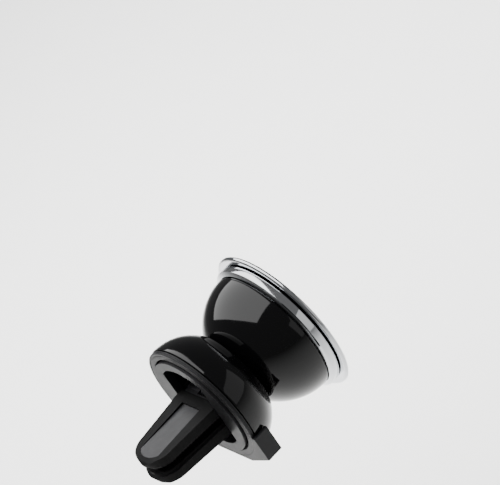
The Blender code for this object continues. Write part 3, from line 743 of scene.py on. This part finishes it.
low, high = box_mm("ball_stud")
BALL_R, NECK_R = 5.0, 2.6
FLANGE_R, FLANGE_REAR = 4.2, -9.4
STUD_R, STUD_PITCH = 1.9, 0.5
BALL_Y = low.y + BALL_R


def on_ball(radius, degrees):
    """(radius, y) on a sphere about the ball's centre, its angle counted from the axis towards the clip."""
    a = math.radians(degrees)
    return (radius * math.sin(a), BALL_Y + radius * math.cos(a))


neck_angle = math.degrees(math.asin(NECK_R / BALL_R))
rings = [on_ball(BALL_R, a) for a in (179, *range(175, 34, -4), neck_angle)]
rings += [(NECK_R, -12.9), (NECK_R, -11.4), (2.75, -10.8), (3.1, -10.4)]
rings += [(FLANGE_R, -9.9), (FLANGE_R, FLANGE_REAR), (STUD_R, FLANGE_REAR)]
y = FLANGE_REAR + STUD_PITCH
while y < high.y - 0.5:
    rings += [(STUD_R, y), (STUD_R - 0.2, y + STUD_PITCH / 2)]
    y += STUD_PITCH
rings += [(STUD_R, high.y - 0.3), (STUD_R - 0.3, high.y)]
stud = lathe("ball_and_neck", rings, 128)
soften(stud, 0.08, segments=2, angle=35)
polished_steel, tree, shader = new_material("polished_steel", "#c9cacc", 0.12, metallic=1.0)
place = add_node(tree, "ShaderNodeTexCoord").outputs["Object"]
# The socket rubs faint rings into the ball, 0.6 mm apart.
rings_worn = add_node(
    tree, "ShaderNodeTexWave", [("Vector", place), ("Scale", 500.0), ("Distortion", 2.0)], bands_direction="Y"
)
uneven_gloss(tree, shader, rings_worn, 0.1, 0.2)
stud.data.materials.append(polished_steel)
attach(stud, "clip_base")
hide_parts("ball_stud")

low, high = box_mm("stud_nut")
NUT_CORNER_R = 3.5
nut = bar("stud_hex_nut", NUT_CORNER_R, (0, low.y, AXIS), (0, high.y, AXIS), steps=6)
bpy.ops.object.mode_set(mode="EDIT")
bpy.ops.mesh.select_all(action="SELECT")
bpy.ops.transform.rotate(value=math.radians(30), orient_axis="Y", center_override=(0, 0, AXIS * MM))
bpy.ops.object.mode_set(mode="OBJECT")
soften(nut, 0.18, segments=3)
nut_hole = bar("nut_drill", STUD_R + 0.05, (0, low.y - 1, AXIS), (0, high.y + 1, AXIS), steps=48)
combine(nut, nut_hole, "DIFFERENCE")
nut.data.materials.clear()
nut.data.materials.append(zinc)
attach(nut, "clip_base")
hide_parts("stud_nut")

# Ball liner: a thin ring of natural nylon round the ball, which sets the joint's friction.

LINER_IN_R, LINER_OUT_R = 5.06, 5.75
rings = [on_ball(LINER_IN_R, a) for a in range(50, 141, 5)]
rings += [on_ball(LINER_OUT_R, a) for a in range(140, 49, -5)]
liner = lathe("friction_liner", rings + rings[:1], 96)
soften(liner, 0.1, segments=2, angle=50)
nylon, tree, shader = new_material("natural_nylon", "#d8d4c6", 0.42)
shader.inputs["Subsurface Weight"].default_value = 0.2
shader.inputs["Subsurface Radius"].default_value = (0.001, 0.0008, 0.0006)
place = add_node(tree, "ShaderNodeTexCoord").outputs["Object"]
# Undyed nylon is a little cloudy, in patches 2.5 mm across.
cloud = add_node(tree, "ShaderNodeTexNoise", [("Vector", place), ("Scale", 400.0), ("Detail", 3.0)])
two_tones(tree, shader, cloud, "#d3cebd", "#e0ddd2")
liner.data.materials.append(nylon)
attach(liner, "pan_liner")
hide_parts("ball_liner")

# Socket cup: a black nylon cup snapped over the lined ball. Its flange turns in the head.

CUP_IN_R, CUP_OUT_R = 5.9, 7.3
CUP_FLANGE_R, CUP_FLANGE_FRONT, CUP_FLANGE_REAR = 10.3, -20.0, -19.0
rings = [on_ball(CUP_IN_R, a) for a in range(55, 141, 5)]
rings += [(5.4, -22.9), (CUP_OUT_R, -21.0), (CUP_OUT_R, CUP_FLANGE_FRONT), (CUP_FLANGE_R, CUP_FLANGE_FRONT)]
rings += [(CUP_FLANGE_R, CUP_FLANGE_REAR), (CUP_OUT_R, CUP_FLANGE_REAR)]
rings += [on_ball(CUP_OUT_R, a) for a in range(90, 54, -5)]
cup = lathe("ball_socket", rings + rings[:1], 128)
soften(cup, 0.15, segments=2, angle=35)
cup.data.materials.append(nylon_black)
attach(cup, "tilt_socket")
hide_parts("socket_cup")

# Head dome: the deep gloss shell behind the bright ring, in the clip dome's ABS. A web inside it takes the
# socket's flange, and its mouth is rolled in round the socket.

low, high = box_mm("head_dome")
HEAD_R, HEAD_FRONT, HEAD_REAR = high.x, low.y, high.y
HEAD_LENGTH, HEAD_WALL = 16.5, 1.7
MOUTH_R = 8.3
WEB_HOLE_R, WEB_FRONT, WEB_REAR = 8.0, -18.5, -17.3


def head_ring(radius, length, y):
    """(radius, y) on the head's ellipse at that y."""
    return (radius * math.sqrt(1 - ((y - HEAD_FRONT) / length) ** 2), y)


outer = []
for step in range(31):
    a = math.radians(step * 58.0 / 30)
    outer.append((HEAD_R * math.cos(a), HEAD_FRONT + HEAD_LENGTH * math.sin(a)))
mouth = [(9.1, -12.04), (8.85, HEAD_REAR), (8.6, -12.05), (8.4, -12.2), (MOUTH_R, -12.4), (MOUTH_R, -13.4)]
inner_r, inner_length = HEAD_R - HEAD_WALL, HEAD_LENGTH - HEAD_WALL
rear_inside = [head_ring(inner_r, inner_length, y) for y in (-14.2, -15.2, -16.2, WEB_REAR)]
web = [(WEB_HOLE_R, WEB_REAR), (WEB_HOLE_R, WEB_FRONT), head_ring(inner_r, inner_length, WEB_FRONT)]
front_inside = [head_ring(inner_r, inner_length, y) for y in (-20.0, -21.5, -23.0, -24.5, HEAD_FRONT)]
rings = outer + mouth + rear_inside + web + front_inside
head = lathe("head_shell", rings + rings[:1])
soften(head, 0.08, segments=2, angle=30)
RETAINER_NODES = ("retainer_screw_1", "retainer_screw_2", "retainer_screw_3")
TRAY_NODES = ("tray_screw_1", "tray_screw_2", "tray_screw_3")
WEB_DRILL_R, COLLAR_DRILL_R = 0.8, 0.85


def drill(piece, nodes, radius, start, end):
    """Bores a hole along Y for each screw."""
    for node in nodes:
        low, high = box_mm(node)
        x, z = (low.x + high.x) / 2, (low.z + high.z) / 2
        combine(piece, bar("drill", radius, (x, start, z), (x, end, z), steps=40), "DIFFERENCE")


drill(head, RETAINER_NODES, WEB_DRILL_R, -19.5, -16.9)
head.data.materials.clear()
head.data.materials.append(gloss_abs)
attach(head, "head")
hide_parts("head_dome")

# Socket retainer: a nylon collar that three screws draw against the web, over the socket's flange.

low, high = box_mm("socket_retainer")
COLLAR_IN_R, COLLAR_OUT_R, STEP_R, STEP_Y = 8.0, 13.4, 10.7, -20.3
rings = [(COLLAR_IN_R, low.y), (COLLAR_OUT_R, low.y), (COLLAR_OUT_R, high.y), (STEP_R, high.y)]
rings += [(STEP_R, STEP_Y), (COLLAR_IN_R, STEP_Y)]
retainer = lathe("flange_retainer", rings + rings[:1], 128)
soften(retainer, 0.2)
drill(retainer, RETAINER_NODES, COLLAR_DRILL_R, -22.5, -18)
drill(retainer, TRAY_NODES, COLLAR_DRILL_R, -22.5, -18)
retainer.data.materials.clear()
retainer.data.materials.append(nylon_black)
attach(retainer, "head")
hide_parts("socket_retainer")

# Steel yoke: a stamped disc behind the magnets that turns their pull forward. Zinc plated.

HEAD_ROOM_R, YOKE_DRILL_R = 1.9, 0.95
low, high = box_mm("steel_yoke")
yoke = bar("flux_yoke", high.x, (0, low.y, AXIS), (0, high.y, AXIS), steps=128)
soften(yoke, 0.1, segments=2)
drill(yoke, RETAINER_NODES, HEAD_ROOM_R, low.y - 1, high.y + 1)
drill(yoke, TRAY_NODES, YOKE_DRILL_R, low.y - 1, high.y + 1)
yoke.data.materials.clear()
yoke.data.materials.append(zinc)
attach(yoke, "head")
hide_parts("steel_yoke")

# Magnets and tray: four nickel-plated neodymium discs glued in the pockets of a black nylon tray.

MAGNET_NODES = ("magnet_1", "magnet_2", "magnet_3", "magnet_4")
TRAY_DRILL_R, COUNTERBORE_R, COUNTERBORE_DEPTH = 0.9, 1.7, 1.3
low, high = box_mm("magnet_tray")
tray = bar("pocket_tray", high.x, (0, low.y, AXIS), (0, high.y, AXIS), steps=128)
soften(tray, 0.15, segments=2)
for node in MAGNET_NODES:
    magnet_low, magnet_high = box_mm(node)
    x, z = (magnet_low.x + magnet_high.x) / 2, (magnet_low.z + magnet_high.z) / 2
    radius = (magnet_high.x - magnet_low.x) / 2
    pocket = bar("pocket_tool", radius + 0.1, (x, low.y - 1, z), (x, magnet_high.y + 0.05, z), steps=64)
    combine(tray, pocket, "DIFFERENCE")
drill(tray, TRAY_NODES, TRAY_DRILL_R, low.y - 1, high.y + 1)
drill(tray, TRAY_NODES, COUNTERBORE_R, low.y - 1, low.y + COUNTERBORE_DEPTH)
tray.data.materials.clear()
tray.data.materials.append(nylon_black)
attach(tray, "head")
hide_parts("magnet_tray")

nickel, tree, shader = new_material("nickel_plate", "#cbc7bd", 0.14, metallic=1.0)
place = add_node(tree, "ShaderNodeTexCoord").outputs["Object"]
# Handling leaves a haze in patches 1.4 mm across.
haze = add_node(tree, "ShaderNodeTexNoise", [("Vector", place), ("Scale", 700.0), ("Detail", 5.0)])
uneven_gloss(tree, shader, haze, 0.08, 0.24)
for node in MAGNET_NODES:
    low, high = box_mm(node)
    x, z = (low.x + high.x) / 2, (low.z + high.z) / 2
    disc = bar(node + "_disc", (high.x - low.x) / 2, (x, low.y, z), (x, high.y, z), steps=96)
    soften(disc, 0.2)
    disc.data.materials.append(nickel)
    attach(disc, "head")
    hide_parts(node)

# Bright ring: a die-cast ring with a straight wall and a bevel towards the dome. It is polished and chrome
# plated, so it mirrors the room with almost no blur.

low, high = box_mm("chrome_ring")
RING_R, RING_FRONT, RING_REAR = high.x, low.y, high.y
RING_IN_R, TUBE_R = 15.0, 15.9
BEVEL_IN_R, BEVEL_Y = 18.0, -26.4
rings = [(RING_IN_R, RING_FRONT), (RING_R - 0.25, RING_FRONT), (RING_R - 0.08, RING_FRONT + 0.07)]
rings += [(RING_R, RING_FRONT + 0.22), (RING_R, BEVEL_Y - 0.62), (RING_R - 0.06, BEVEL_Y - 0.5)]
rings += [(BEVEL_IN_R + 0.1, BEVEL_Y - 0.03), (BEVEL_IN_R, BEVEL_Y), (TUBE_R, BEVEL_Y), (TUBE_R, RING_REAR)]
rings += [(RING_IN_R, RING_REAR), (RING_IN_R, RING_FRONT)]
ring = lathe("bevel_ring", rings, 224)
soften(ring, 0.06, segments=2, angle=40)
chrome, tree, shader = new_material("chrome_plate", "#dfe1e4", 0.05, metallic=1.0)
place = add_node(tree, "ShaderNodeTexCoord").outputs["Object"]
# Fingers leave a slight haze in patches 2 mm across.
haze = add_node(tree, "ShaderNodeTexNoise", [("Vector", place), ("Scale", 500.0), ("Detail", 5.0)])
uneven_gloss(tree, shader, haze, 0.03, 0.10)
ring.data.materials.append(chrome)
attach(ring, "head")
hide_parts("chrome_ring")

# Face pad: a thin rubber disc over the magnets, which keeps the plate from sliding.

PAD_GROOVE = 0.15
CENTRE_R = 0.4  # a disc's faces are flat from here to its axis
low, high = box_mm("face_pad")
y = low.y
sunk = y + PAD_GROOVE
rings = [(CENTRE_R, y)]
for groove_r in (4.0, 7.5, 11.0):
    rings += [(groove_r - 0.3, y), (groove_r - 0.1, sunk), (groove_r + 0.1, sunk), (groove_r + 0.3, y)]
rings += [(high.x, y), (high.x, high.y), (CENTRE_R, high.y)]
pad = lathe("grip_disc", rings, 128)
soften(pad, 0.08, segments=2, angle=40)
pad.data.materials.append(rubber)
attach(pad, "head")
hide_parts("face_pad")

# Phone plate: a pressed steel disc with a rolled edge, chrome plated, and a shallow recess for its adhesive.

low, high = box_mm("phone_plate")
EDGE_R, PLATE_FRONT, PLATE_BACK = high.x, low.y, high.y
RECESS_R, ROLL_R = EDGE_R - 2.2, 0.8
half = (PLATE_BACK - PLATE_FRONT) / 2
recess = PLATE_FRONT + 0.7
edge = []
for step in range(17):
    a = math.radians(-90 + step * 180 / 16)
    edge.append((EDGE_R - ROLL_R + ROLL_R * math.cos(a), PLATE_FRONT + half + half * math.sin(a)))
rings = [(CENTRE_R, recess), (RECESS_R, recess), (RECESS_R, PLATE_FRONT + 0.1), (RECESS_R + 0.1, PLATE_FRONT)]
rings += edge + [(CENTRE_R, PLATE_BACK)]
plate = lathe("pressed_plate", rings, 224)
soften(plate, 0.05, segments=2, angle=40)
plate.data.materials.append(chrome)
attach(plate, "plate")
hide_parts("phone_plate")

# Plate adhesive: a disc of double-sided foam tape in the recess, its red liner still on.

low, high = box_mm("plate_adhesive")
rings = [(CENTRE_R, low.y), (high.x - 0.1, low.y), (high.x, low.y + 0.1)]
rings += [(high.x, high.y), (CENTRE_R, high.y)]
tape = lathe("foam_tape", rings, 128)
soften(tape, 0.03, segments=2, angle=50)
liner_film, tree, shader = new_material("red_liner_film", "#a3201c", 0.3)
place = add_node(tree, "ShaderNodeTexCoord").outputs["Object"]
# The film is embossed with a mesh of 1.5 mm, and lifts a little in patches.
mesh_lines = add_node(
    tree, "ShaderNodeTexVoronoi", [("Vector", place), ("Scale", 660.0)], feature="DISTANCE_TO_EDGE"
)
relief(tree, shader, mesh_lines.outputs["Distance"], 0.3, 0.0001)
lift = add_node(tree, "ShaderNodeTexNoise", [("Vector", place), ("Scale", 180.0), ("Detail", 2.0)])
two_tones(tree, shader, lift, "#98191a", "#b32a22")
tape.data.materials.append(liner_film)
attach(tape, "plate")
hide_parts("plate_adhesive")
